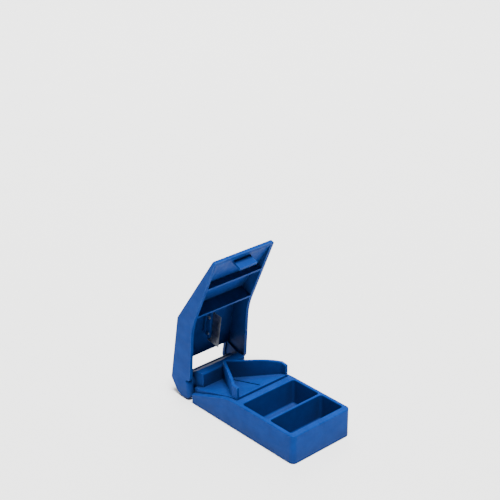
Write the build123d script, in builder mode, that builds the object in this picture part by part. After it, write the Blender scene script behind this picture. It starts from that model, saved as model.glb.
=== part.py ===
from build123d import *
import os
from math import cos, sin, radians

# A pocket pill splitter: an open tray with a hinged lid that carries a blade.
# Millimetres, +Z up, the front of the tray towards -Y. The origin is the
# middle of the tray's underside. The lid group is drawn shut and is turned
# open about the hinge at the end.

# ---------------------------------------------------------------- tray sizes
WIDTH = 38.0
TRAY_LENGTH = 85.0
RIM_HEIGHT = 15.4
FLOOR = 1.6
SIDE_WALL = 2.0
FRONT_WALL = 3.4
DIVIDER_START = 18.1
DIVIDER_END = 19.5
LEDGE_START = 37.3
LEDGE_END = 41.3
RIM_BEND_START = 39.0
RIM_BEND_END = 52.0
RIM_BEND_END_HEIGHT = 13.1
SIDE_END = 73.2
SIDE_END_HEIGHT = 5.3
FRONT_CORNER = 2.6
COMPARTMENT_CORNER = 1.4
COMPARTMENT_FOOT = 1.0
RIM_ROUND = 0.6
MOUTH_ROUND = 0.4
FOOT_BEVEL = 0.4

# ---------------------------------------------------------- hinge, both ends
HINGE_STATION = 80.0
HINGE_HEIGHT = 8.5
PIVOT_RADIUS = 2.2
PIVOT_CLEARANCE = 0.05
PIVOT_DEPTH = 4.0
OPEN_ANGLE = 65.8
BLOCK_HALF_WIDTH = 13.8
BLOCK_FRONT = 70.3
BLOCK_FRONT_HEIGHT = 16.1
BLOCK_BACK = 75.8
BLOCK_BACK_HEIGHT = 15.4
BLOCK_FOOT_END = 81.5
BARREL_RADIUS = 4.8
BLOCK_ROUND = 0.8

# ------------------------------------------------------- pill holder, sizes
BAY_HALF_WIDTH = 17.0
BAY_END = 74.9
HOLDER_GAP = 0.15
DECK_FRONT_HEIGHT = 16.9
DECK_SLOPE = 0.29
DECK_SKIN = 1.6
DECK_TAIL_START = 71.4
DECK_TAIL_HALF_WIDTH = 15.8
CRADLE_WALL = 1.5
CRADLE_CHEEK_END = 45.0
CRADLE_BACK_HALF_WIDTH = 1.0
CRADLE_FRONT_HEIGHT = 22.1
CRADLE_CROWN_STATION = 49.0
CRADLE_CROWN_HEIGHT = 22.7
CRADLE_SHOULDER_STATION = 59.0
CRADLE_SHOULDER_HEIGHT = 21.0
CRADLE_BACK_HEIGHT = 18.9
CRADLE_ROUND = 0.4
DECK_ROUND = 0.4
BLADE_SLOT_WIDTH = 1.0
BLADE_SLOT_DEPTH = 0.9
BLADE_SLOT_START = 43.2
BLADE_SLOT_END = 66.0

# -------------------------------------------------------------- lid, closed
LID_GAP = 0.35
LID_SKIN = 1.8
LID_SIDE = 1.7
LID_FRONT_WALL = 2.0
LID_FRONT_HEIGHT = 17.6
LID_PEAK_STATION = 48.2
LID_PEAK_HEIGHT = 26.75
LID_TAIL_STATION = 84.2
LID_TAIL_HEIGHT = 17.5
LID_PEAK_ROUND = 1.6
LID_TAIL_ROUND = 1.6
LID_CORNER = 1.3
EAR_HEEL_ROUND = 0.8
LID_CUTOUT_START = 75.3
LID_CUTOUT_HALF_WIDTH = 15.4
EAR_THICKNESS = 2.8
EAR_START = 75.0
EAR_RADIUS = 8.2
EAR_ARC_TOP = 25.0
EAR_ARC_BOTTOM = -48.0
EAR_HEEL_STATION = 82.7
EAR_HEEL_HEIGHT = 1.9
EAR_TOE_STATION = 75.4
EAR_TOE_HEIGHT = 5.9
EAR_NOSE_ROUND = 2.4
EAR_BOSS_RADIUS = 3.6
EAR_BOSS_GAP = 0.2
PIVOT_BEVEL = 0.5
RIB_THICKNESS = 1.2
RIB_STATIONS = (18.8, 38.2)
CATCH_STATION = 4.1
CATCH_THICKNESS = 1.4
CATCH_WIDTH = 10.8
CATCH_FOOT = 11.0
RAIL_START = 43.0
RAIL_END = 61.0
RAIL_THICKNESS = 1.0
RAIL_DEPTH = 2.0
LID_EDGE_ROUND = 0.7

# ------------------------------------------------------ blade and its holder
BLADE_THICKNESS = 0.4
BLADE_START = 45.8
BLADE_LENGTH = 18.4
BLADE_REACH = 0.4
BLADE_HEIGHT = 8.4
BLADE_BEVEL_HEIGHT = 1.2
BLADE_BEVEL_DEPTH = 0.17
CARRIER_START = 44.6
CARRIER_END = 62.0
CARRIER_WIDTH = 3.2
CARRIER_RISE = 5.6
CARRIER_GAP = 0.05
SLOT_CLEARANCE = 0.03
PIN_RADIUS = 0.7
PIN_PLACES = (3.4, 13.0)
PIN_RISE = 6.6

HALF_WIDTH = WIDTH / 2
STEEP = 0.9
FRONT_Y = -TRAY_LENGTH / 2
HINGE_Y = FRONT_Y + HINGE_STATION
OVERCUT = 5.0


def at(station, height):
    """Turn a distance behind the front face and a height into a side-view point."""
    return (FRONT_Y + station, height)


def on_ear(angle):
    """Give the side-view point on the ear's round at an angle round the hinge axis."""
    return (
        HINGE_Y + EAR_RADIUS * cos(radians(angle)),
        HINGE_HEIGHT + EAR_RADIUS * sin(radians(angle)),
    )


def deck_height(station):
    """Give the height of the sloping deck at a station."""
    return DECK_FRONT_HEIGHT - DECK_SLOPE * (station - LEDGE_END)


def over_deck(station, rise):
    """Give the side-view point at a height above the sloping deck."""
    return at(station, deck_height(station) + rise)


def panel_height(station, below=0.0):
    """Give the height of the lid's outer panel at a station, less a depth below it."""
    if station <= LID_PEAK_STATION:
        rise = (LID_PEAK_HEIGHT - LID_FRONT_HEIGHT) / LID_PEAK_STATION
        return LID_FRONT_HEIGHT + rise * station - below
    fall = (LID_PEAK_HEIGHT - LID_TAIL_HEIGHT) / (LID_TAIL_STATION - LID_PEAK_STATION)
    return LID_PEAK_HEIGHT - fall * (station - LID_PEAK_STATION) - below


# ------------------------------------------------------------- hinge block
with BuildPart() as hinge_block:
    with BuildSketch(Plane.YZ):
        with BuildLine():
            Polyline(
                at(BLOCK_FOOT_END, 0),
                at(BLOCK_FRONT, 0),
                at(BLOCK_FRONT, BLOCK_FRONT_HEIGHT),
                at(BLOCK_BACK, BLOCK_BACK_HEIGHT),
                at(HINGE_STATION, HINGE_HEIGHT + BARREL_RADIUS),
                at(HINGE_STATION + BARREL_RADIUS, HINGE_HEIGHT),
                close=True,
            )
        make_face()
        with Locations(at(HINGE_STATION, HINGE_HEIGHT)):
            Circle(BARREL_RADIUS)
    extrude(amount=BLOCK_HALF_WIDTH, both=True)
    top_corners = hinge_block.edges().filter_by(Axis.X).group_by(Axis.Z)[-1]
    fillet(top_corners, BLOCK_ROUND)

# -------------------------------------------------------------------- tray
with BuildPart() as base_tray:
    with BuildSketch(Plane.YZ):
        with BuildLine():
            rim = Line(at(0, RIM_HEIGHT), at(RIM_BEND_START, RIM_HEIGHT))
            bend = TangentArc(
                rim @ 1,
                at(RIM_BEND_END, RIM_BEND_END_HEIGHT),
                tangent=rim % 1,
            )
            Polyline(
                bend @ 1,
                at(SIDE_END, SIDE_END_HEIGHT),
                at(SIDE_END, 0),
                at(0, 0),
                at(0, RIM_HEIGHT),
            )
        make_face()
    extrude(amount=HALF_WIDTH, both=True)
    front_corners = base_tray.edges().filter_by(Axis.Z).group_by(Axis.Y)[0]
    fillet(front_corners, FRONT_CORNER)
    underside = base_tray.faces().sort_by(Axis.Z)[0]
    chamfer(underside.edges(), FOOT_BEVEL)
    rim_edges = [
        edge
        for edge in base_tray.edges().filter_by(Axis.X, reverse=True)
        if edge.center().Z > SIDE_END_HEIGHT and abs(edge.tangent_at(0).Z) < STEEP
    ]
    rim_edges += base_tray.edges().filter_by(Axis.X).group_by(Axis.Y)[0].sort_by(Axis.Z)[-1:]
    fillet(rim_edges, RIM_ROUND)

    # The two storage compartments.
    for start, end in ((FRONT_WALL, DIVIDER_START), (DIVIDER_END, LEDGE_START)):
        with BuildSketch(Plane.XY.offset(FLOOR)):
            with Locations((0, FRONT_Y + (start + end) / 2)):
                RectangleRounded(WIDTH - 2 * SIDE_WALL, end - start, COMPARTMENT_CORNER)
        extrude(amount=RIM_HEIGHT, mode=Mode.SUBTRACT)
        fillet(base_tray.edges(Select.LAST).group_by(Axis.Z)[0], COMPARTMENT_FOOT)

    mouth_edges = [
        edge
        for edge in base_tray.faces().sort_by(Axis.Z)[-1].edges()
        if edge.center().Y > FRONT_Y + FRONT_WALL / 2
        and edge.center().Y < FRONT_Y + LEDGE_START + MOUTH_ROUND
        and abs(edge.center().X) < HALF_WIDTH - RIM_ROUND - MOUTH_ROUND
    ]
    fillet(mouth_edges, MOUTH_ROUND)

    # The bay that takes the pill holder.
    with BuildSketch(Plane.XY.offset(FLOOR)):
        with Locations((0, FRONT_Y + (LEDGE_END + BAY_END) / 2)):
            Rectangle(2 * BAY_HALF_WIDTH, BAY_END - LEDGE_END)
    extrude(amount=RIM_HEIGHT, mode=Mode.SUBTRACT)

    # The floor runs on under the back of the pill holder and the hinge block.
    with BuildSketch(Plane.XY):
        with Locations((0, FRONT_Y + (LEDGE_END + BAY_END) / 2)):
            Rectangle(2 * BAY_HALF_WIDTH, BAY_END - LEDGE_END)
    extrude(amount=FLOOR)
    add(hinge_block.part)

    # Bores for the lid's two pivots.
    with BuildSketch(Plane.YZ):
        with Locations(at(HINGE_STATION, HINGE_HEIGHT)):
            Circle(PIVOT_RADIUS + PIVOT_CLEARANCE)
    extrude(amount=BLOCK_HALF_WIDTH, both=True, mode=Mode.SUBTRACT)
    base_tray.part.label = "base_tray"

# -------------------------------------------------------------- pill holder
HOLDER_FRONT = LEDGE_END + HOLDER_GAP
HOLDER_HALF_WIDTH = BAY_HALF_WIDTH - HOLDER_GAP
HOLDER_END = BAY_END - HOLDER_GAP
HOLDER_BACK = BLOCK_FRONT - HOLDER_GAP

# The two walls of the cradle stand on the deck. They run straight back as
# cheeks, then close in on each other.
CRADLE_TAPER = (HOLDER_HALF_WIDTH - CRADLE_BACK_HALF_WIDTH) / (HOLDER_BACK - CRADLE_CHEEK_END)
CRADLE_WALL_ACROSS = CRADLE_WALL * (1 + CRADLE_TAPER**2) ** 0.5
CRADLE_MOUTH = HOLDER_HALF_WIDTH - CRADLE_WALL
CRADLE_APEX = HOLDER_BACK - (CRADLE_WALL_ACROSS - CRADLE_BACK_HALF_WIDTH) / CRADLE_TAPER
CRADLE_INNER_BEND = CRADLE_APEX - CRADLE_MOUTH / CRADLE_TAPER

# The outer plan of the cradle.
with BuildSketch() as cradle_plan:
    with BuildLine():
        Polyline(
            (-HOLDER_HALF_WIDTH, FRONT_Y + HOLDER_FRONT),
            (HOLDER_HALF_WIDTH, FRONT_Y + HOLDER_FRONT),
            (HOLDER_HALF_WIDTH, FRONT_Y + CRADLE_CHEEK_END),
            (CRADLE_BACK_HALF_WIDTH, FRONT_Y + HOLDER_BACK),
            (-CRADLE_BACK_HALF_WIDTH, FRONT_Y + HOLDER_BACK),
            (-HOLDER_HALF_WIDTH, FRONT_Y + CRADLE_CHEEK_END),
            close=True,
        )
    make_face()

with BuildPart() as cradle:
    with BuildSketch(Plane.YZ.offset(-HOLDER_HALF_WIDTH)):
        with BuildLine():
            crown = Spline(
                at(HOLDER_FRONT, CRADLE_FRONT_HEIGHT),
                at(CRADLE_CROWN_STATION, CRADLE_CROWN_HEIGHT),
                at(CRADLE_SHOULDER_STATION, CRADLE_SHOULDER_HEIGHT),
                at(HOLDER_BACK, CRADLE_BACK_HEIGHT),
            )
            Polyline(
                crown @ 1,
                over_deck(HOLDER_BACK, -DECK_SKIN / 2),
                over_deck(HOLDER_FRONT, -DECK_SKIN / 2),
                crown @ 0,
            )
        make_face()
    extrude(amount=2 * HOLDER_HALF_WIDTH)
    extrude(cradle_plan.sketch, amount=LID_PEAK_HEIGHT, mode=Mode.INTERSECT)

    # The pill space between the walls.
    with BuildSketch(Plane.XY):
        with BuildLine():
            Polyline(
                (-CRADLE_MOUTH, FRONT_Y + HOLDER_FRONT),
                (CRADLE_MOUTH, FRONT_Y + HOLDER_FRONT),
                (CRADLE_MOUTH, FRONT_Y + CRADLE_INNER_BEND),
                (0, FRONT_Y + CRADLE_APEX),
                (-CRADLE_MOUTH, FRONT_Y + CRADLE_INNER_BEND),
                close=True,
            )
        make_face()
    extrude(amount=LID_PEAK_HEIGHT, mode=Mode.SUBTRACT)
    fillet(cradle.faces().sort_by(Axis.Z)[-1].edges(), CRADLE_ROUND)

with BuildPart() as pill_holder:
    with BuildSketch(Plane.YZ):
        with BuildLine():
            Polyline(
                at(HOLDER_FRONT, FLOOR),
                at(HOLDER_FRONT, deck_height(HOLDER_FRONT)),
                at(HOLDER_END, deck_height(HOLDER_END)),
                at(HOLDER_END, FLOOR),
                close=True,
            )
        make_face()
    extrude(amount=HOLDER_HALF_WIDTH, both=True)

    # Hollow under the deck, inside a skirt.
    skirt_front = HOLDER_FRONT + DECK_SKIN
    skirt_back = HOLDER_END - DECK_SKIN
    with BuildSketch(Plane.YZ):
        with BuildLine():
            Polyline(
                at(skirt_front, FLOOR),
                at(skirt_front, deck_height(skirt_front) - DECK_SKIN),
                at(skirt_back, deck_height(skirt_back) - DECK_SKIN),
                at(skirt_back, FLOOR),
                close=True,
            )
        make_face()
    extrude(amount=HOLDER_HALF_WIDTH - DECK_SKIN, both=True, mode=Mode.SUBTRACT)

    deck_top = pill_holder.faces().sort_by(Axis.Z)[-1]
    fillet(deck_top.edges(), DECK_ROUND)

    add(cradle.part)

    # The groove in the deck that the blade's edge runs into.
    with BuildSketch(Plane.YZ):
        with BuildLine():
            Polyline(
                over_deck(BLADE_SLOT_START, -BLADE_SLOT_DEPTH),
                over_deck(BLADE_SLOT_START, BLADE_SLOT_DEPTH),
                over_deck(BLADE_SLOT_END, BLADE_SLOT_DEPTH),
                over_deck(BLADE_SLOT_END, -BLADE_SLOT_DEPTH),
                close=True,
            )
        make_face()
    extrude(amount=BLADE_SLOT_WIDTH / 2, both=True, mode=Mode.SUBTRACT)

    # The tail of the deck is narrower, to let the lid's ears swing past it.
    for side in (-1, 1):
        with BuildSketch(Plane.XY):
            with Locations((side * DECK_TAIL_HALF_WIDTH, FRONT_Y + DECK_TAIL_START)):
                Rectangle(
                    BAY_HALF_WIDTH,
                    TRAY_LENGTH,
                    align=(Align.MIN if side > 0 else Align.MAX, Align.MIN),
                )
        extrude(amount=LID_PEAK_HEIGHT, mode=Mode.SUBTRACT)

    # Notch round the hinge block.
    with BuildSketch(Plane.XY):
        with Locations((0, FRONT_Y + HOLDER_BACK)):
            Rectangle(
                2 * (BLOCK_HALF_WIDTH + HOLDER_GAP),
                HOLDER_END,
                align=(Align.CENTER, Align.MIN),
            )
    extrude(amount=LID_PEAK_HEIGHT, mode=Mode.SUBTRACT)
    pill_holder.part.label = "pill_holder"

# ---------------------------------------------------------------------- lid
LID_INNER_HALF_WIDTH = HALF_WIDTH - LID_SIDE
EAR_INNER_HALF_WIDTH = HALF_WIDTH - EAR_THICKNESS

# What is cut from the front edges of the two ears.
ear_toe = Vector(0, *at(EAR_TOE_STATION, EAR_TOE_HEIGHT))
ear_heel = Vector(0, *at(EAR_HEEL_STATION, EAR_HEEL_HEIGHT))
nose_run = ear_heel - ear_toe
nose_plane = Plane(origin=ear_toe, x_dir=(-1, 0, 0), z_dir=nose_run.normalized())
dome_plane = nose_plane.offset(EAR_NOSE_ROUND)

with BuildPart() as nose_cut:
    for side in (-1, 1):
        nose_centre = (side * (HALF_WIDTH - EAR_NOSE_ROUND), EAR_NOSE_ROUND)
        with BuildSketch(nose_plane):
            with Locations(nose_centre):
                Rectangle(
                    OVERCUT,
                    EAR_NOSE_ROUND,
                    align=(Align.MIN if side > 0 else Align.MAX, Align.MAX),
                )
        extrude(amount=nose_run.length + OVERCUT)
        with BuildSketch(dome_plane):
            with Locations(nose_centre):
                Circle(EAR_NOSE_ROUND)
        extrude(amount=nose_run.length + OVERCUT, mode=Mode.SUBTRACT)
        with Locations(dome_plane.location * Location((*nose_centre, 0))):
            Sphere(EAR_NOSE_ROUND, mode=Mode.SUBTRACT)

with BuildPart() as lid_shell:
    with BuildSketch(Plane.YZ) as lid_side:
        with BuildLine():
            lid_rim = Line(
                at(0, RIM_HEIGHT + LID_GAP),
                at(RIM_BEND_START, RIM_HEIGHT + LID_GAP),
            )
            lid_bend = TangentArc(
                lid_rim @ 1,
                at(RIM_BEND_END, RIM_BEND_END_HEIGHT + LID_GAP),
                tangent=lid_rim % 1,
            )
            Polyline(
                lid_bend @ 1,
                at(SIDE_END, SIDE_END_HEIGHT + LID_GAP),
                at(EAR_TOE_STATION, EAR_TOE_HEIGHT),
                at(EAR_HEEL_STATION, EAR_HEEL_HEIGHT),
                on_ear(EAR_ARC_BOTTOM),
            )
            ear_arc = ThreePointArc(
                on_ear(EAR_ARC_BOTTOM),
                on_ear((EAR_ARC_BOTTOM + EAR_ARC_TOP) / 2),
                on_ear(EAR_ARC_TOP),
            )
            Polyline(
                ear_arc @ 1,
                at(LID_TAIL_STATION, LID_TAIL_HEIGHT),
                at(LID_PEAK_STATION, LID_PEAK_HEIGHT),
                at(0, LID_FRONT_HEIGHT),
                at(0, RIM_HEIGHT + LID_GAP),
            )
        make_face()
        for corner, radius in (
            (at(LID_PEAK_STATION, LID_PEAK_HEIGHT), LID_PEAK_ROUND),
            (at(LID_TAIL_STATION, LID_TAIL_HEIGHT), LID_TAIL_ROUND),
            (on_ear(EAR_ARC_TOP), LID_TAIL_ROUND),
            (on_ear(EAR_ARC_BOTTOM), EAR_HEEL_ROUND),
            (at(EAR_HEEL_STATION, EAR_HEEL_HEIGHT), EAR_HEEL_ROUND),
        ):
            fillet(lid_side.vertices().sort_by_distance(corner)[0], radius)
    extrude(amount=HALF_WIDTH, both=True)
    lid_front_corners = lid_shell.edges().filter_by(Axis.Z).group_by(Axis.Y)[0]
    fillet(lid_front_corners, LID_CORNER)
    lid_edges = [
        edge
        for edge in lid_shell.faces().filter_by(Axis.X).edges()
        if edge.center().Z > panel_height(edge.center().Y - FRONT_Y, LID_SKIN)
        or edge.center().Y > HINGE_Y + PIVOT_RADIUS
    ]
    lid_edges += [
        edge
        for edge in lid_shell.edges()
        if edge.center().Y < FRONT_Y + FRONT_CORNER and edge.center().Z > RIM_HEIGHT + LID_SKIN
    ]
    fillet(lid_edges, LID_EDGE_ROUND)

    # The inside, in front of the ears.
    with BuildSketch(Plane.YZ):
        with BuildLine():
            Polyline(
                at(LID_FRONT_WALL, 0),
                at(LID_FRONT_WALL, panel_height(LID_FRONT_WALL, LID_SKIN)),
                at(LID_PEAK_STATION, LID_PEAK_HEIGHT - LID_SKIN),
                at(EAR_START, panel_height(EAR_START, LID_SKIN)),
                at(EAR_START, 0),
                close=True,
            )
        make_face()
    extrude(amount=LID_INNER_HALF_WIDTH, both=True, mode=Mode.SUBTRACT)

    # The space between the ears, below the panel.
    with BuildSketch(Plane.YZ):
        with BuildLine():
            Polyline(
                at(EAR_START, 0),
                at(EAR_START, panel_height(EAR_START, LID_SKIN)),
                at(TRAY_LENGTH + OVERCUT, panel_height(TRAY_LENGTH + OVERCUT, LID_SKIN)),
                at(TRAY_LENGTH + OVERCUT, 0),
                close=True,
            )
        make_face()
    extrude(amount=EAR_INNER_HALF_WIDTH, both=True, mode=Mode.SUBTRACT)

    # The cut-out in the panel over the hinge block.
    with BuildSketch(Plane.XY):
        with Locations((0, FRONT_Y + LID_CUTOUT_START)):
            Rectangle(
                2 * LID_CUTOUT_HALF_WIDTH,
                TRAY_LENGTH,
                align=(Align.CENTER, Align.MIN),
            )
    extrude(amount=LID_PEAK_HEIGHT, mode=Mode.SUBTRACT)

    # Cross ribs that close the two compartments.
    for station in RIB_STATIONS:
        with BuildSketch(Plane.YZ):
            with BuildLine():
                front = station - RIB_THICKNESS / 2
                back = station + RIB_THICKNESS / 2
                Polyline(
                    at(front, RIM_HEIGHT + LID_GAP),
                    at(front, panel_height(front, LID_SKIN / 2)),
                    at(back, panel_height(back, LID_SKIN / 2)),
                    at(back, RIM_HEIGHT + LID_GAP),
                    close=True,
                )
            make_face()
        extrude(amount=LID_INNER_HALF_WIDTH + LID_SIDE / 2, both=True)

    # The catch tab behind the lid's front wall.
    with BuildSketch(Plane.YZ):
        with BuildLine():
            catch_back = CATCH_STATION + CATCH_THICKNESS
            Polyline(
                at(CATCH_STATION, CATCH_FOOT),
                at(CATCH_STATION, panel_height(CATCH_STATION, LID_SKIN / 2)),
                at(catch_back, panel_height(catch_back, LID_SKIN / 2)),
                at(catch_back, CATCH_FOOT),
                close=True,
            )
        make_face()
    extrude(amount=CATCH_WIDTH / 2, both=True)

    # Two rails that the blade carrier is pressed between.
    rail_centre = (CARRIER_WIDTH + RAIL_THICKNESS) / 2 + CARRIER_GAP
    for side in (-1, 1):
        with BuildSketch(Plane.YZ.offset(side * rail_centre)):
            with BuildLine():
                Polyline(
                    at(RAIL_START, panel_height(RAIL_START, LID_SKIN / 2)),
                    at(LID_PEAK_STATION, LID_PEAK_HEIGHT - LID_SKIN / 2),
                    at(RAIL_END, panel_height(RAIL_END, LID_SKIN / 2)),
                    at(RAIL_END, panel_height(RAIL_END, LID_SKIN + RAIL_DEPTH)),
                    at(LID_PEAK_STATION, LID_PEAK_HEIGHT - LID_SKIN - RAIL_DEPTH),
                    at(RAIL_START, panel_height(RAIL_START, LID_SKIN + RAIL_DEPTH)),
                    close=True,
                )
            make_face()
        extrude(amount=RAIL_THICKNESS / 2, both=True)

    # The ears' front edges are rounded on the outside and domed below the rim.
    add(nose_cut.part, mode=Mode.SUBTRACT)

    # Bosses and pivots inside the ears.
    boss_face = BLOCK_HALF_WIDTH + EAR_BOSS_GAP
    pivot_face = BLOCK_HALF_WIDTH - PIVOT_DEPTH
    for side in (-1, 1):
        with BuildSketch(Plane.YZ.offset(side * boss_face)):
            with Locations(at(HINGE_STATION, HINGE_HEIGHT)):
                Circle(EAR_BOSS_RADIUS)
        extrude(amount=side * (EAR_INNER_HALF_WIDTH + EAR_THICKNESS / 2 - boss_face))
        with BuildSketch(Plane.YZ.offset(side * pivot_face)):
            with Locations(at(HINGE_STATION, HINGE_HEIGHT)):
                Circle(PIVOT_RADIUS)
        extrude(amount=side * (EAR_INNER_HALF_WIDTH - pivot_face))
    pivot_ends = lid_shell.faces().filter_by(Axis.X).filter_by(
        lambda face: abs(face.center().X) < pivot_face + PIVOT_BEVEL
        and abs(face.center().Y - HINGE_Y) < PIVOT_RADIUS
    )
    chamfer(pivot_ends.edges(), PIVOT_BEVEL)
    lid_shell.part.label = "lid_shell"

# ---------------------------------------------------------- blade and holder
# The blade lies along the slope of the deck. One plane looks along its edge and
# the other looks at its side; both start at the front of its edge line.
slope = Vector(0, 1, -DECK_SLOPE).normalized()
blade_origin = Vector(0, *over_deck(BLADE_START, 0))
blade_end_view = Plane(origin=blade_origin, x_dir=(-1, 0, 0), z_dir=slope)
blade_side_view = Plane(origin=blade_origin, x_dir=slope, z_dir=(1, 0, 0))
BLADE_TOP = BLADE_HEIGHT - BLADE_REACH

with BuildPart() as blade_carrier:
    with BuildSketch(Plane.YZ):
        with BuildLine():
            Polyline(
                over_deck(CARRIER_START, CARRIER_RISE),
                at(CARRIER_START, panel_height(CARRIER_START, LID_SKIN + CARRIER_GAP)),
                at(LID_PEAK_STATION, LID_PEAK_HEIGHT - LID_SKIN - CARRIER_GAP),
                at(CARRIER_END, panel_height(CARRIER_END, LID_SKIN + CARRIER_GAP)),
                over_deck(CARRIER_END, CARRIER_RISE),
                close=True,
            )
        make_face()
    extrude(amount=CARRIER_WIDTH / 2, both=True)
    with BuildSketch(blade_side_view):
        with Locations((-SLOT_CLEARANCE, BLADE_TOP + SLOT_CLEARANCE)):
            Rectangle(TRAY_LENGTH, BLADE_HEIGHT, align=(Align.MIN, Align.MAX))
    extrude(amount=BLADE_THICKNESS / 2 + SLOT_CLEARANCE, both=True, mode=Mode.SUBTRACT)
    with BuildSketch(blade_side_view):
        with Locations(*[(place, PIN_RISE) for place in PIN_PLACES]):
            Circle(PIN_RADIUS)
    extrude(amount=CARRIER_WIDTH / 2, both=True, mode=Mode.SUBTRACT)
    blade_carrier.part.label = "blade_carrier"

with BuildPart() as blade:
    with BuildSketch(blade_end_view):
        with BuildLine():
            bevel_top = BLADE_BEVEL_HEIGHT - BLADE_REACH
            edge_half = BLADE_THICKNESS / 2 - BLADE_BEVEL_DEPTH
            Polyline(
                (-BLADE_THICKNESS / 2, BLADE_TOP),
                (BLADE_THICKNESS / 2, BLADE_TOP),
                (BLADE_THICKNESS / 2, bevel_top),
                (edge_half, -BLADE_REACH),
                (-edge_half, -BLADE_REACH),
                (-BLADE_THICKNESS / 2, bevel_top),
                close=True,
            )
        make_face()
    extrude(amount=BLADE_LENGTH)
    with BuildSketch(blade_side_view):
        with Locations(*[(place, PIN_RISE) for place in PIN_PLACES]):
            Circle(PIN_RADIUS + SLOT_CLEARANCE)
    extrude(amount=BLADE_THICKNESS, both=True, mode=Mode.SUBTRACT)
    blade.part.label = "blade"

with BuildPart() as blade_pins:
    with BuildSketch(blade_side_view):
        with Locations(*[(place, PIN_RISE) for place in PIN_PLACES]):
            Circle(PIN_RADIUS - SLOT_CLEARANCE)
    extrude(amount=CARRIER_WIDTH / 2, both=True)
    blade_pins.part.label = "blade_pins"

# ------------------------------------------- turn the lid group open, and save
hinge_axis = Axis((0, HINGE_Y, HINGE_HEIGHT), (1, 0, 0))
os.makedirs("parts", exist_ok=True)
for piece in (base_tray.part, pill_holder.part):
    export_step(piece, f"parts/{piece.label}.step")
for piece in (lid_shell.part, blade_carrier.part, blade.part, blade_pins.part):
    opened = piece.rotate(hinge_axis, -OPEN_ANGLE)
    opened.label = piece.label
    export_step(opened, f"parts/{piece.label}.step")
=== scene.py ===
"""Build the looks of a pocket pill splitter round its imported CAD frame."""

import logging
import math
from dataclasses import dataclass
from enum import Enum

import bmesh
import bpy
from mathutils import Matrix, Vector


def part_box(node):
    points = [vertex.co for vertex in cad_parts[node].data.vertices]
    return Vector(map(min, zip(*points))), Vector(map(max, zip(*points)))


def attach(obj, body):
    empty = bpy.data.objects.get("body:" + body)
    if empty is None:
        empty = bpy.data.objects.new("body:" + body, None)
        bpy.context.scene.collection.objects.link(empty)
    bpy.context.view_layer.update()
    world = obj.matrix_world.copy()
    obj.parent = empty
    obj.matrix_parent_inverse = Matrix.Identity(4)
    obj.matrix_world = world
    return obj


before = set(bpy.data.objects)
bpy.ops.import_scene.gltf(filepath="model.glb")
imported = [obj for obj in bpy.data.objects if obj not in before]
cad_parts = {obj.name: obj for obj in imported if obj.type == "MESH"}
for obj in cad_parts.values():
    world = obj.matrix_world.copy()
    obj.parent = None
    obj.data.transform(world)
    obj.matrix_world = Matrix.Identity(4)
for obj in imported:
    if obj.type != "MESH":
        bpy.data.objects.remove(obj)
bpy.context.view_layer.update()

MM: float = 0.001
MASK_RAYS: int = 6
LOG: logging.Logger = logging.getLogger("pill_splitter")


class Body(Enum):
    """The two bodies that the pieces ride on."""

    BASE = "base"
    LID = "lid"


class Slot(Enum):
    """Names of material slots for the added pieces; nothing reads them."""

    PLASTIC = "blue_plastic"
    PIN = "pin_steel"


@dataclass(frozen=True)
class Tone:
    """A colour, as it looks on a screen."""

    red: float
    green: float
    blue: float

    def linear(self) -> tuple[float, float, float, float]:
        """Return the colour in linear light, with a full alpha."""
        return (*(self._to_linear(part) for part in (self.red, self.green, self.blue)), 1.0)

    @staticmethod
    def _to_linear(part: float) -> float:
        """Turn one screen channel into linear light, by the standard screen curve.

        Args:
            part: The channel, from 0 to 1.

        Returns:
            The channel in linear light.
        """
        toe_end, toe_slope, offset, power = 0.04045, 12.92, 0.055, 2.4
        if part <= toe_end:
            return part / toe_slope
        return ((part + offset) / (1.0 + offset)) ** power


@dataclass(frozen=True)
class Grain:
    """A noise pattern and the part of its range that is used."""

    size: float
    octaves: float = 3.0
    harshness: float = 0.55
    low: float = 0.35
    high: float = 0.65
    stretch: tuple[float, float, float] = (1.0, 1.0, 1.0)


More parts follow.
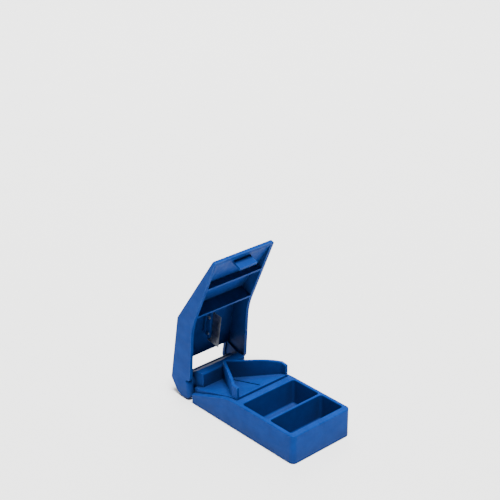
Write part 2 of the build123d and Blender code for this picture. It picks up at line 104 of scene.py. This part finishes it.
class NodeBoard:
    """A small helper that adds and joins the nodes of one material."""

    def __init__(self, name: str) -> None:
        """Start an empty material.

        Args:
            name: The material's name.
        """
        self.material = bpy.data.materials.new(name)
        self.material.use_nodes = True
        self.tree = self.material.node_tree
        self.tree.nodes.clear()
        self.output = self.tree.nodes.new("ShaderNodeOutputMaterial")
        self.shader = self.tree.nodes.new("ShaderNodeBsdfPrincipled")
        self.tree.links.new(self.shader.outputs["BSDF"], self.output.inputs["Surface"])
        self.coordinates = self.tree.nodes.new("ShaderNodeTexCoord").outputs["Object"]

    def join(self, source: bpy.types.NodeSocket, target: bpy.types.NodeSocket) -> None:
        """Link one socket to another."""
        self.tree.links.new(source, target)

    def noise(self, grain: Grain) -> bpy.types.NodeSocket:
        """Add a noise as it comes, with blobs of the grain's size.

        Args:
            grain: The pattern.

        Returns:
            The noise's value, from 0 to 1.
        """
        mapping = self.tree.nodes.new("ShaderNodeMapping")
        mapping.inputs["Scale"].default_value = [part / grain.size for part in grain.stretch]
        self.join(self.coordinates, mapping.inputs["Vector"])
        texture = self.tree.nodes.new("ShaderNodeTexNoise")
        texture.inputs["Scale"].default_value = 1.0
        texture.inputs["Detail"].default_value = grain.octaves
        texture.inputs["Roughness"].default_value = grain.harshness
        self.join(mapping.outputs["Vector"], texture.inputs["Vector"])
        return texture.outputs["Fac"]

    def pattern(
        self, grain: Grain, to_low: float = 0.0, to_high: float = 1.0
    ) -> bpy.types.NodeSocket:
        """Add a noise and spread the used part of its range.

        Args:
            grain: The pattern.
            to_low: What the start of the used range becomes.
            to_high: What its end becomes.

        Returns:
            The spread value.
        """
        return self.ramp(self.noise(grain), grain.low, grain.high, to_low, to_high)

    def ramp(
        self,
        source: bpy.types.NodeSocket,
        low: float,
        high: float,
        to_low: float = 0.0,
        to_high: float = 1.0,
    ) -> bpy.types.NodeSocket:
        """Map a range of one value onto another range, clamped.

        Args:
            source: The value to map.
            low: Where the range starts.
            high: Where the range ends.
            to_low: What the start becomes.
            to_high: What the end becomes.

        Returns:
            The mapped value.
        """
        node = self.tree.nodes.new("ShaderNodeMapRange")
        node.inputs["From Min"].default_value = low
        node.inputs["From Max"].default_value = high
        node.inputs["To Min"].default_value = to_low
        node.inputs["To Max"].default_value = to_high
        self.join(source, node.inputs["Value"])
        return node.outputs["Result"]

    def maths(
        self,
        operation: str,
        first: bpy.types.NodeSocket,
        second: bpy.types.NodeSocket | float,
    ) -> bpy.types.NodeSocket:
        """Combine two values.

        Args:
            operation: The name of the operation, such as MULTIPLY.
            first: The first value.
            second: The second value, a socket or a number.

        Returns:
            The result.
        """
        node = self.tree.nodes.new("ShaderNodeMath")
        node.operation = operation
        self.join(first, node.inputs[0])
        if isinstance(second, bpy.types.NodeSocket):
            self.join(second, node.inputs[1])
        else:
            node.inputs[1].default_value = second
        return node.outputs["Value"]

    def blend(
        self,
        amount: bpy.types.NodeSocket,
        first: bpy.types.NodeSocket | Tone,
        second: bpy.types.NodeSocket | Tone,
    ) -> bpy.types.NodeSocket:
        """Mix two colours.

        Args:
            amount: 0 for the first colour, 1 for the second.
            first: A colour or a socket.
            second: A colour or a socket.

        Returns:
            The mixed colour.
        """
        node = self.tree.nodes.new("ShaderNodeMix")
        node.data_type = "RGBA"
        self.join(amount, node.inputs["Factor"])
        for colour, socket in ((first, node.inputs[6]), (second, node.inputs[7])):
            if isinstance(colour, Tone):
                socket.default_value = colour.linear()
            else:
                self.join(colour, socket)
        return node.outputs[2]

    def edge_mask(self, radius: float, low: float, high: float) -> bpy.types.NodeSocket:
        """Find the surface near sharp edges.

        Args:
            radius: How far from an edge the mask reaches, in metres.
            low: The bend at which the mask starts.
            high: The bend at which the mask is full.

        Returns:
            1 on an edge, 0 on flat surface.
        """
        bevel = self.tree.nodes.new("ShaderNodeBevel")
        bevel.samples = MASK_RAYS
        bevel.inputs["Radius"].default_value = radius
        geometry = self.tree.nodes.new("ShaderNodeNewGeometry")
        dot = self.tree.nodes.new("ShaderNodeVectorMath")
        dot.operation = "DOT_PRODUCT"
        self.join(bevel.outputs["Normal"], dot.inputs[0])
        self.join(geometry.outputs["Normal"], dot.inputs[1])
        return self.ramp(dot.outputs["Value"], 1.0 - low, 1.0 - high)

    def recess_mask(self, reach: float, low: float, high: float) -> bpy.types.NodeSocket:
        """Find corners and hollows.

        Args:
            reach: How far away a wall still counts, in metres.
            low: The share of the view that is walled in where the mask starts.
            high: The share at which the mask is full.

        Returns:
            1 deep in a corner, 0 on open surface.
        """
        occlusion = self.tree.nodes.new("ShaderNodeAmbientOcclusion")
        occlusion.samples = MASK_RAYS
        occlusion.inputs["Distance"].default_value = reach
        return self.ramp(occlusion.outputs["AO"], 1.0 - low, 1.0 - high)

    def bump(self, height: bpy.types.NodeSocket, depth: float) -> None:
        """Give the shader a fine relief.

        Args:
            height: The relief, from 0 to 1.
            depth: How deep the relief is, in metres.
        """
        node = self.tree.nodes.new("ShaderNodeBump")
        node.inputs["Strength"].default_value = 1.0
        node.inputs["Distance"].default_value = depth
        self.join(height, node.inputs["Height"])
        self.join(node.outputs["Normal"], self.shader.inputs["Normal"])


@dataclass(frozen=True)
class MouldedPlastic:
    """Opaque moulded plastic with a fine spark-eroded grain, edges lightened partly as wear and
    partly as a painted highlight, and painted shade in its corners and hollows.
    """

    name: str
    deep: Tone = Tone(0.036, 0.177, 0.425)
    body: Tone = Tone(0.042, 0.196, 0.462)
    # Lighter edge colour: partly real wear, partly a painted highlight where the rounded edges
    # catch the light.
    rub_and_highlight_tone: Tone = Tone(0.18, 0.42, 0.72)
    # Painted shade: a dark grey-blue laid into corners and hollows, where shade falls, so that
    # the lid's inside looks dark.
    painted_shade: Tone = Tone(0.13, 0.145, 0.21)
    cloud: Grain = Grain(6.0 * MM)
    edge_breakup: Grain = Grain(1.3 * MM, octaves=4.0, harshness=0.7, low=0.42, high=0.66)
    flow: Grain = Grain(
        2.4 * MM, octaves=2.0, harshness=0.5, low=0.3, high=0.7, stretch=(1.0, 0.35, 1.0)
    )
    relief: Grain = Grain(0.30 * MM, harshness=0.6)
    relief_depth: float = 0.016 * MM
    edge_reach: float = 0.45 * MM
    edge_start: float = 0.03
    edge_full: float = 0.25
    least_edge_breakup: float = 0.35
    # How strongly the edges are lightened, as wear and as painted highlight.
    rub_and_highlight_strength: float = 0.65
    rub_dulling: float = 0.10
    # How far the painted shade's occlusion test reaches, where the painted shade starts and
    # where it is full.
    recess_reach: float = 15.0 * MM
    recess_start: float = 0.15
    recess_full: float = 0.65
    painted_shade_strength: float = 0.55
    gloss: float = 0.035
    roughness_low: float = 0.44
    roughness_high: float = 0.58
    refraction: float = 1.49
    glow: float = 0.04
    glow_spread: tuple[float, float, float] = (0.2, 0.5, 1.0)
    glow_depth: float = 0.6 * MM

    def make(self) -> bpy.types.Material:
        """Build the material.

        Returns:
            The material.
        """
        board = NodeBoard(self.name)
        # Edge lightening, partly wear and partly painted highlight; it also dulls the roughness
        # on the edges.
        rub_and_highlight = self._rub_and_highlight(board)
        self._colour(board, rub_and_highlight)
        sheen = board.pattern(self.flow, self.roughness_low, self.roughness_high)
        dulled = board.maths("ADD", sheen, board.maths("MULTIPLY", rub_and_highlight, self.rub_dulling))
        board.join(dulled, board.shader.inputs["Roughness"])
        board.bump(board.noise(self.relief), self.relief_depth)
        for socket, value in (
            ("IOR", self.refraction),
            ("Specular IOR Level", self.gloss),
            ("Subsurface Weight", self.glow),
            ("Subsurface Radius", self.glow_spread),
            ("Subsurface Scale", self.glow_depth),
        ):
            board.shader.inputs[socket].default_value = value
        return board.material

    def _rub_and_highlight(self, board: NodeBoard) -> bpy.types.NodeSocket:
        """Find how much each spot is lightened, which is uneven and only on edges: partly real
        wear, partly a painted highlight where the rounded edges catch the light.

        Args:
            board: The material's nodes.

        Returns:
            The lightening, from 0 to the finish's rub and highlight strength.
        """
        edge_breakup = board.pattern(self.edge_breakup, self.least_edge_breakup)
        edge = board.edge_mask(self.edge_reach, self.edge_start, self.edge_full)
        return board.maths("MULTIPLY", board.maths("MULTIPLY", edge, edge_breakup), self.rub_and_highlight_strength)

    def _colour(self, board: NodeBoard, rub_and_highlight: bpy.types.NodeSocket) -> None:
        """Lay the cloudy body colour, the lighter edges (partly wear, partly painted highlight)
        and the painted shade in corners and hollows.

        Args:
            board: The material's nodes.
            rub_and_highlight: How much each spot is lightened, as wear and as painted
                highlight.
        """
        colour = board.blend(board.pattern(self.cloud), self.deep, self.body)
        # Lighten the edges: partly real wear, partly a painted highlight.
        colour = board.blend(rub_and_highlight, colour, self.rub_and_highlight_tone)
        # Painted shade: darken corners and hollows towards a dark grey-blue, by how walled in
        # each spot is.
        recess = board.recess_mask(self.recess_reach, self.recess_start, self.recess_full)
        painted_shade = board.maths("MULTIPLY", recess, self.painted_shade_strength)
        colour = board.blend(painted_shade, colour, self.painted_shade)
        board.join(colour, board.shader.inputs["Base Color"])


@dataclass(frozen=True)
class GroundSteel:
    """Steel with fine grinding lines and a few faint stains."""

    name: str
    pale: Tone = Tone(0.60, 0.61, 0.64)
    dull: Tone = Tone(0.44, 0.45, 0.49)
    stain: Grain = Grain(3.0 * MM, harshness=0.6, high=0.7)
    lines: Grain = Grain(
        0.9 * MM, octaves=4.0, harshness=0.65, low=0.3, high=0.7, stretch=(1.0, 14.0, 3.0)
    )
    line_depth: float = 0.004 * MM
    roughness_low: float = 0.28
    roughness_high: float = 0.44

    def make(self) -> bpy.types.Material:
        """Build the material.

        Returns:
            The material.
        """
        board = NodeBoard(self.name)
        stain = board.pattern(self.stain)
        board.join(board.blend(stain, self.pale, self.dull), board.shader.inputs["Base Color"])
        lines = board.noise(self.lines)
        rough = board.ramp(
            lines, self.lines.low, self.lines.high, self.roughness_low, self.roughness_high
        )
        board.join(rough, board.shader.inputs["Roughness"])
        board.bump(lines, self.line_depth)
        board.shader.inputs["Metallic"].default_value = 1.0
        return board.material


@dataclass(frozen=True)
class StudioPaper:
    """The pale paper that the object stands on."""

    name: str = "studio_paper"
    shade: Tone = Tone(0.965, 0.965, 0.96)
    warm: Tone = Tone(0.955, 0.955, 0.948)
    fleck: Grain = Grain(40.0 * MM, octaves=2.0, harshness=0.5)
    roughness: float = 0.9

    def make(self) -> bpy.types.Material:
        """Build the material.

        Returns:
            The material.
        """
        board = NodeBoard(self.name)
        fleck = board.noise(self.fleck)
        board.join(board.blend(fleck, self.shade, self.warm), board.shader.inputs["Base Color"])
        board.shader.inputs["Roughness"].default_value = self.roughness
        return board.material


def dress(node: str, material: bpy.types.Material) -> bpy.types.Object:
    """Give a CAD node its finish.

    Args:
        node: The node's name.
        material: The finish.

    Returns:
        The node's object.
    """
    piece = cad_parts[node]
    piece.data.materials.clear()
    piece.data.materials.append(material)
    return piece


@dataclass(frozen=True)
class Button:
    """A low round button with a rounded rim, such as a pin head or a moulding mark."""

    radius: float
    height: float
    rim: float
    sides: int = 40
    rim_steps: int = 4

    def make(
        self,
        name: str,
        places: list[Matrix],
        material: bpy.types.Material,
        body: Body,
        slot: Slot,
    ) -> bpy.types.Object:
        """Build one piece with a button at every place.

        Args:
            name: The piece's name.
            places: Where each button stands; its crown faces the place's own +Z.
            material: The finish.
            body: The body that it rides on.
            slot: Not used.

        Returns:
            The piece.
        """
        mesh = bpy.data.meshes.new(name)
        whole = bmesh.new()
        for place in places:
            self._one(mesh, place)
            whole.from_mesh(mesh)
        whole.to_mesh(mesh)
        whole.free()
        mesh.materials.append(material)
        piece = bpy.data.objects.new(name, mesh)
        bpy.context.scene.collection.objects.link(piece)
        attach(piece, body.value)
        return piece

    def _one(self, mesh: bpy.types.Mesh, place: Matrix) -> None:
        """Put one button into the mesh, in place of what it held.

        Args:
            mesh: The mesh.
            place: Where the button stands; its crown faces the place's own +Z.
        """
        button = bmesh.new()
        bmesh.ops.create_cone(
            button,
            cap_ends=True,
            segments=self.sides,
            radius1=self.radius,
            radius2=self.radius,
            depth=2 * self.height,
        )
        rim = [edge for edge in button.edges if all(vert.co.z > 0.0 for vert in edge.verts)]
        bmesh.ops.bevel(
            button,
            geom=rim,
            offset=self.rim,
            offset_type="OFFSET",
            segments=self.rim_steps,
            profile=0.5,
            affect="EDGES",
            material=-1,
        )
        bmesh.ops.transform(button, matrix=place, verts=button.verts)
        button.to_mesh(mesh)
        button.free()


@dataclass
class Base:
    """The tray with its hinge block, and the holder that sits in it."""

    plastic: bpy.types.Material
    mark: Button = Button(radius=1.5 * MM, height=0.08 * MM, rim=0.05 * MM)
    mark_spread: float = 10.0 * MM
    floor_height: float = 1.6 * MM
    compartment_middles: tuple[float, float] = (-31.75 * MM, -14.1 * MM)

    def build(self) -> list[bpy.types.Object]:
        """Dress the tray and the holder, and add the marks of the ejector pins.

        Returns:
            The pieces.
        """
        places = [
            Matrix.Translation((side * self.mark_spread, middle, self.floor_height))
            for side in (-1.0, 1.0)
            for middle in self.compartment_middles
        ]
        return [
            dress("base_tray", self.plastic),
            dress("pill_holder", self.plastic),
            self.mark.make("tray_mould_marks", places, self.plastic, Body.BASE, Slot.PLASTIC),
        ]


@dataclass
class Lid:
    """The lid with its ears, ribs, catch tab and pivots."""

    plastic: bpy.types.Material
    mark: Button = Button(radius=1.3 * MM, height=0.08 * MM, rim=0.05 * MM)
    mark_spread: float = 12.0 * MM
    hinge: Vector = Vector((0.0, 37.5 * MM, 8.5 * MM))
    open_angle: float = 65.8
    front: float = -42.5 * MM
    front_marks: tuple[float, float] = (12.0 * MM, 28.5 * MM)
    back_mark: float = 66.0 * MM
    skin: float = 1.8 * MM
    front_edge: tuple[float, float] = (0.0, 17.6 * MM)
    peak: tuple[float, float] = (48.2 * MM, 26.75 * MM)
    tail: tuple[float, float] = (84.2 * MM, 17.5 * MM)

    def build(self) -> list[bpy.types.Object]:
        """Dress the lid, and add the marks of the ejector pins inside it.

        Returns:
            The pieces.
        """
        places = []
        for side in (-1.0, 1.0):
            across = side * self.mark_spread
            for station in self.front_marks:
                places.append(self._under_panel(across, station, self.front_edge, self.peak))
            places.append(self._under_panel(across, self.back_mark, self.peak, self.tail))
        return [
            dress("lid_shell", self.plastic),
            self.mark.make("lid_mould_marks", places, self.plastic, Body.LID, Slot.PLASTIC),
        ]

    def _under_panel(
        self,
        across: float,
        station: float,
        start: tuple[float, float],
        end: tuple[float, float],
    ) -> Matrix:
        """Find a place on the inside of the open lid's panel.

        Args:
            across: The distance to the right of the middle.
            station: The distance behind the front of the shut lid.
            start: The station and height where this flat of the panel starts.
            end: The station and height where it ends.

        Returns:
            The place, with its +Z pointing out of the inner face.
        """
        slope = (end[1] - start[1]) / (end[0] - start[0])
        height = start[1] + slope * (station - start[0])
        tilt = math.atan(slope)
        inner = height - self.skin / math.cos(tilt)
        shut = Matrix.Translation((across, self.front + station, inner))
        shut @= Matrix.Rotation(tilt, 4, "X") @ Matrix.Rotation(math.pi, 4, "X")
        to_hinge = Matrix.Translation(self.hinge)
        turn = Matrix.Rotation(-math.radians(self.open_angle), 4, "X")
        return to_hinge @ turn @ to_hinge.inverted() @ shut


@dataclass
class BladeUnit:
    """The blade, the carrier that holds it and the two pins through both."""

    plastic: bpy.types.Material
    blade_steel: bpy.types.Material
    pin_steel: bpy.types.Material
    head: Button = Button(radius=1.0 * MM, height=0.3 * MM, rim=0.27 * MM)

    def build(self) -> list[bpy.types.Object]:
        """Dress the carrier, the blade and the pins, and give the pins their heads.

        Returns:
            The pieces.
        """
        return [
            dress("blade_carrier", self.plastic),
            dress("blade", self.blade_steel),
            dress("blade_pins", self.pin_steel),
            self.head.make("pin_heads", self._pin_ends(), self.pin_steel, Body.LID, Slot.PIN),
        ]

    def _pin_ends(self) -> list[Matrix]:
        """Find the ends of the two pins.

        Returns:
            The four places, each with its +Z pointing outwards.
        """
        low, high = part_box("blade_pins")
        middle = (low.z + high.z) / 2
        points = [vert.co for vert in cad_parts["blade_pins"].data.vertices]
        places = []
        for pin in (
            [point for point in points if point.z > middle],
            [point for point in points if point.z <= middle],
        ):
            depth = (min(point.y for point in pin) + max(point.y for point in pin)) / 2
            height = (min(point.z for point in pin) + max(point.z for point in pin)) / 2
            for end, turn in ((low.x, -math.pi / 2), (high.x, math.pi / 2)):
                place = Matrix.Translation((end, depth, height))
                places.append(place @ Matrix.Rotation(turn, 4, "Y"))
        return places


@dataclass
class Studio:
    """The floor, the lights and the camera."""

    floor_size: float = 40.0
    camera_azimuth: float = -41.92
    camera_elevation: float = 24.94
    camera_roll: float = -0.183
    camera_target: Vector = Vector((0.0, -0.0045, 0.019))
    camera_distance: float = 0.59668
    camera_right: float = -0.00832
    camera_up: float = 0.06554
    camera_reach: tuple[float, float] = (0.01, 20.0)
    lens: float = 88.21
    room_tone: Tone = Tone(0.96, 0.975, 1.0)
    world_strength: float = 0.16
    sun_place: Vector = Vector((-0.10, -0.19, 1.0))
    sun_spread: float = 24.0
    sun_power: float = 10.6
    back_place: Vector = Vector((0.50, 0.60, 0.80))
    back_size: float = 0.90
    back_power: float = 7.0

    def build(self) -> None:
        """Make the floor, the world, the lights and the camera."""
        self._floor()
        self._world()
        self._lights()
        self._camera()

    def _lights(self) -> None:
        """Hang the wide key light above and the weaker panel behind."""
        key = bpy.data.lights.new("key_light", "SUN")
        key.angle = math.radians(self.sun_spread)
        key.energy = self.sun_power
        self._hang(key, self.sun_place)
        panel = bpy.data.lights.new("back_panel", "AREA")
        panel.shape = "SQUARE"
        panel.size = self.back_size
        panel.energy = self.back_power
        self._hang(panel, self.back_place)

    def _floor(self) -> None:
        """Lay a wide sheet of paper under the object."""
        mesh = bpy.data.meshes.new("studio_floor")
        sheet = bmesh.new()
        bmesh.ops.create_grid(sheet, x_segments=1, y_segments=1, size=self.floor_size / 2)
        sheet.to_mesh(mesh)
        sheet.free()
        floor = bpy.data.objects.new("studio_floor", mesh)
        mesh.materials.append(StudioPaper().make())
        bpy.context.scene.collection.objects.link(floor)

    def _world(self) -> None:
        """Fill the room with even pale light."""
        world = bpy.data.worlds.new("studio_room")
        world.use_nodes = True
        sky = world.node_tree.nodes["Background"]
        sky.inputs["Color"].default_value = self.room_tone.linear()
        sky.inputs["Strength"].default_value = self.world_strength
        bpy.context.scene.world = world

    def _hang(self, light: bpy.types.Light, place: Vector) -> None:
        """Hang one light, turned to the object.

        Args:
            light: The light's data.
            place: Where it hangs, in metres.
        """
        lamp = bpy.data.objects.new(light.name, light)
        lamp.location = place
        lamp.rotation_mode = "QUATERNION"
        lamp.rotation_quaternion = (self.camera_target - place).to_track_quat("-Z", "Y")
        bpy.context.scene.collection.objects.link(lamp)

    def _camera(self) -> None:
        """Place the camera in front, to the left and above."""
        azimuth = math.radians(self.camera_azimuth)
        elevation = math.radians(self.camera_elevation)
        roll = math.radians(self.camera_roll)
        back = Vector(
            (
                math.sin(azimuth) * math.cos(elevation),
                -math.cos(azimuth) * math.cos(elevation),
                math.sin(elevation),
            )
        )
        right = Vector((0.0, 0.0, 1.0)).cross(back).normalized()
        up = back.cross(right)
        place = self.camera_target + back * self.camera_distance
        place += right * self.camera_right + up * self.camera_up
        turned_right = right * math.cos(roll) + up * math.sin(roll)
        turned_up = up * math.cos(roll) - right * math.sin(roll)
        data = bpy.data.cameras.new("studio_camera")
        data.lens = self.lens
        data.clip_start, data.clip_end = self.camera_reach
        camera = bpy.data.objects.new("studio_camera", data)
        turn = Matrix((turned_right, turned_up, back)).transposed()
        camera.matrix_world = Matrix.LocRotScale(place, turn.to_quaternion(), None)
        bpy.context.scene.collection.objects.link(camera)
        bpy.context.scene.camera = camera


def main() -> None:
    """Build every sub-assembly and the studio round it."""
    logging.basicConfig(level=logging.INFO, format="%(name)s: %(message)s")
    plastic = MouldedPlastic("moulded_blue").make()
    blade_steel = GroundSteel("ground_steel").make()
    drawn_lines = Grain(0.4 * MM, octaves=4.0, harshness=0.65, low=0.3, high=0.7)
    pin_steel = GroundSteel("drawn_steel", lines=drawn_lines).make()
    for maker in (Base(plastic), Lid(plastic), BladeUnit(plastic, blade_steel, pin_steel)):
        for piece in maker.build():
            LOG.info("%s: %d faces", piece.name, len(piece.data.polygons))
    Studio().build()


if __name__ == "__main__":
    main()
